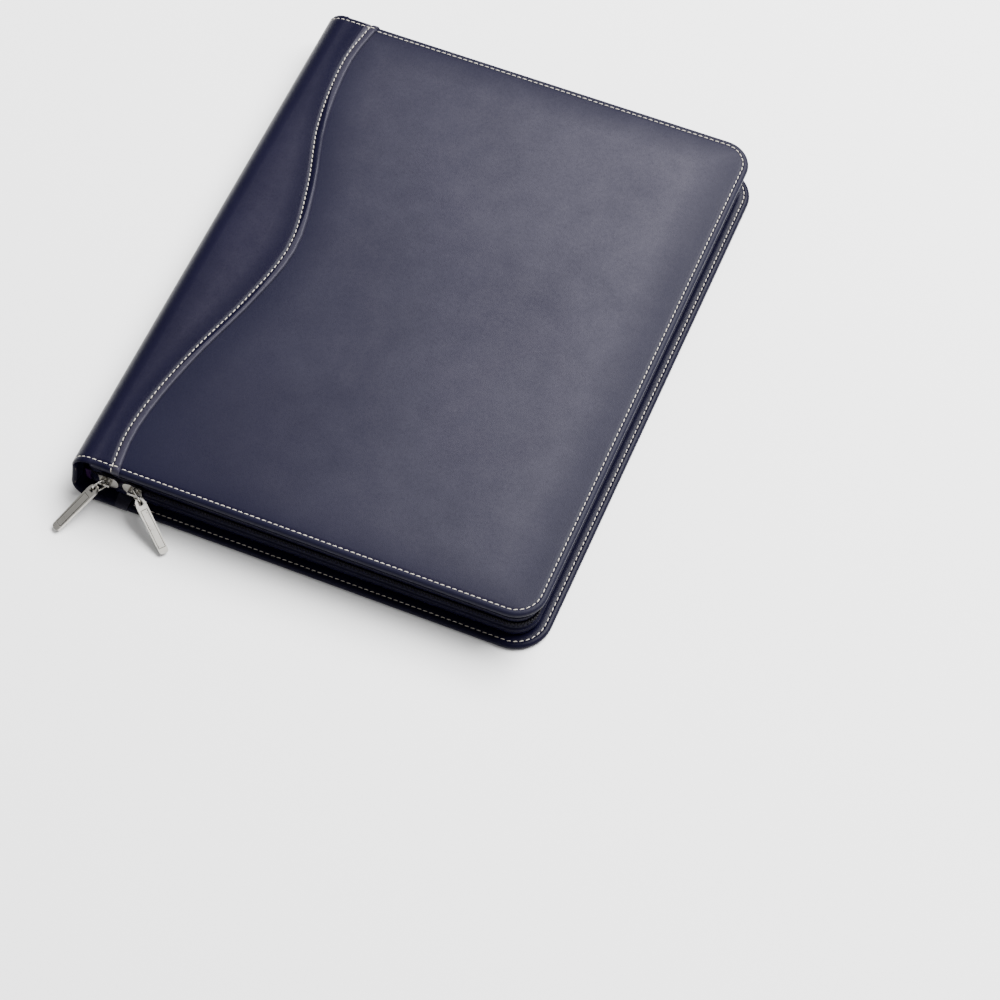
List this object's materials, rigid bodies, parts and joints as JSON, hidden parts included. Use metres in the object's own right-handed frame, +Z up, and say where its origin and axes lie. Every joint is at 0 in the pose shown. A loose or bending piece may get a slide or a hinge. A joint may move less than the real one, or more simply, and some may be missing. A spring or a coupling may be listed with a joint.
{
  "type": "zip-round compendium",
  "caption": "Zip-round leather compendium with organiser, writing pad, card slots and pen; it opens flat at two folds in its spine",
  "frame": {"origin": "middle of the back cover's flat underside, where the shut case rests", "axes": "+Z up through the front cover, +X from the spine to the fore-edge, +Y from the foot edge with the zip sliders to the head edge"},
  "size_m": [0.279, 0.383, 0.034],
  "materials": {
    "leather_dark": "smooth navy leather, fine grain, soft sheen",
    "leather_panel": "smooth blue-grey leather, fine grain, satin",
    "lining": "blue-grey lining, matt",
    "lining_taupe": "taupe lining, matt",
    "zip_tape": "woven purple tape",
    "zip_coil": "black nylon coil",
    "board": "grey-brown board",
    "kraft": "brown card",
    "paper": "white writing paper",
    "print": "coated printed card",
    "card": "laminated plastic",
    "film": "clear film",
    "nickel": "polished pale nickel",
    "gilt": "pale gold plate",
    "pen_silver": "brushed silver",
    "pen_barrel": "satin navy lacquer"
  },
  "bodies": {
    "back": {"back_cover_leather": "leather_dark", "back_spine_panel": "leather_dark", "back_cover_board": "board", "back_lining": "lining", "lower_zip_tape": "zip_tape", "lower_zip_teeth": "zip_coil", "pad_pocket_band": "lining"},
    "pad": {"pad_backboard": "kraft", "pad_sheets": "paper", "pad_binding": "kraft"},
    "spine": {"spine_leather": "leather_dark", "spine_stiffener": "board", "spine_lining": "lining_taupe", "lower_fold_leather": "leather_dark", "upper_fold_leather": "leather_dark", "foot_zip_end": "zip_tape", "head_zip_end": "zip_tape", "pen_sleeve": "lining_taupe", "parked_slider_body": "nickel"},
    "parked_link": {"parked_slider_link": "nickel"},
    "parked_tab": {"parked_pull_tab": "nickel"},
    "pen": {"pen_barrel": "pen_barrel"},
    "pen_top": {"pen_cap": "pen_silver", "pen_clip": "pen_silver"},
    "travelling_slider": {"travelling_slider_body": "nickel"},
    "travelling_link": {"travelling_slider_link": "nickel"},
    "travelling_tab": {"travelling_pull_tab": "nickel"},
    "front": {"front_cover_leather": "leather_panel", "front_cover_board": "board", "front_lining": "lining", "front_spine_panel": "leather_dark", "upper_zip_tape": "zip_tape", "upper_zip_teeth": "zip_coil", "organiser_panel": "leather_panel", "pocket_zip_tape": "zip_tape", "pocket_zip_teeth": "zip_coil", "slip_pocket_panel": "leather_panel", "card_panel": "leather_panel", "card_slot_1": "leather_panel", "card_slot_2": "leather_panel", "card_slot_3": "leather_panel", "card_slot_4": "leather_panel", "card_slot_5": "leather_panel", "side_pocket_panel": "leather_panel", "window_panel": "leather_panel", "window_film": "film", "window_insert": "print"},
    "brochure": {"brochure": "print"},
    "side_booklet": {"side_booklet": "paper"},
    "card_1": {"card_1": "card"},
    "card_2": {"card_2": "card"},
    "card_3": {"card_3": "card"},
    "card_4": {"card_4": "card"},
    "card_5": {"card_5": "card"},
    "pocket_slider": {"pocket_slider_body": "gilt"},
    "pocket_tab": {"pocket_pull_tab": "gilt"}
  },
  "joints": [
    {"name": "spine_fold", "type": "hinge", "parent": "back", "child": "spine", "pos_m": [-0.13574, 0, 0.00376], "axis": [0, -1, 0], "range_deg": [0, 90], "deforming": ["lower_fold_leather"]},
    {"name": "cover_fold", "type": "hinge", "parent": "spine", "child": "front", "pos_m": [-0.13574, 0, 0.03024], "axis": [0, -1, 0], "range_deg": [0, 90], "deforming": ["upper_fold_leather"]},
    {"name": "travelling_slider_run", "type": "slide", "parent": "back", "child": "travelling_slider", "axis": [1, 0, 0], "range_m": [0, 0.2145], "deforming": ["lower_zip_teeth", "upper_zip_teeth"]},
    {"name": "travelling_link_swivel", "type": "hinge", "parent": "travelling_slider", "child": "travelling_link", "pos_m": [-0.1025, -0.1739, 0.0165], "axis": [0, 0, 1], "range_deg": [-35, 13]},
    {"name": "travelling_tab_lift", "type": "hinge", "parent": "travelling_link", "child": "travelling_tab", "pos_m": [-0.09611, -0.17871, 0.0165], "axis": [-0.6018, -0.7986, 0], "range_deg": [0, 60]},
    {"name": "parked_link_swivel", "type": "hinge", "parent": "spine", "child": "parked_link", "pos_m": [-0.1195, -0.1739, 0.0165], "axis": [0, 0, 1], "range_deg": [-25, 35]},
    {"name": "parked_tab_lift", "type": "hinge", "parent": "parked_link", "child": "parked_tab", "pos_m": [-0.12362, -0.18076, 0.0165], "axis": [-0.8572, 0.515, 0], "range_deg": [0, 60]},
    {"name": "pen_slide", "type": "slide", "parent": "spine", "child": "pen", "axis": [0, 1, 0], "range_m": [0, 0.028]},
    {"name": "pen_cap_slide", "type": "slide", "parent": "pen", "child": "pen_top", "axis": [0, 1, 0], "range_m": [0, 0.008]},
    {"name": "pad_slide", "type": "slide", "parent": "back", "child": "pad", "axis": [0, 1, 0], "range_m": [0, 0.009]},
    {"name": "brochure_slide", "type": "slide", "parent": "front", "child": "brochure", "axis": [1, 0, 0], "range_m": [0, 0.03]},
    {"name": "booklet_slide", "type": "slide", "parent": "front", "child": "side_booklet", "axis": [1, 0, 0], "range_m": [0, 0.03]},
    {"name": "card_1_slide", "type": "slide", "parent": "front", "child": "card_1", "axis": [0, 0.9961, -0.0888], "range_m": [0, 0.011]},
    {"name": "card_2_slide", "type": "slide", "parent": "front", "child": "card_2", "axis": [0, 0.9961, -0.0888], "range_m": [0, 0.03]},
    {"name": "card_3_slide", "type": "slide", "parent": "front", "child": "card_3", "axis": [0, 0.9961, -0.0888], "range_m": [0, 0.03]},
    {"name": "card_4_slide", "type": "slide", "parent": "front", "child": "card_4", "axis": [0, 0.9961, -0.0888], "range_m": [0, 0.03]},
    {"name": "card_5_slide", "type": "slide", "parent": "front", "child": "card_5", "axis": [0, 0.9961, -0.0888], "range_m": [0, 0.03]},
    {"name": "pocket_slider_run", "type": "slide", "parent": "front", "child": "pocket_slider", "axis": [0, 1, 0], "range_m": [0, 0.25]},
    {"name": "pocket_tab_drop", "type": "hinge", "parent": "pocket_slider", "child": "pocket_tab", "pos_m": [0.0445, -0.111, 0.0236], "axis": [-1, 0, 0], "range_deg": [0, 12]}
  ],
  "couplings": [
    {"joint": "cover_fold", "follows": "spine_fold", "ratio": 1}
  ]
}
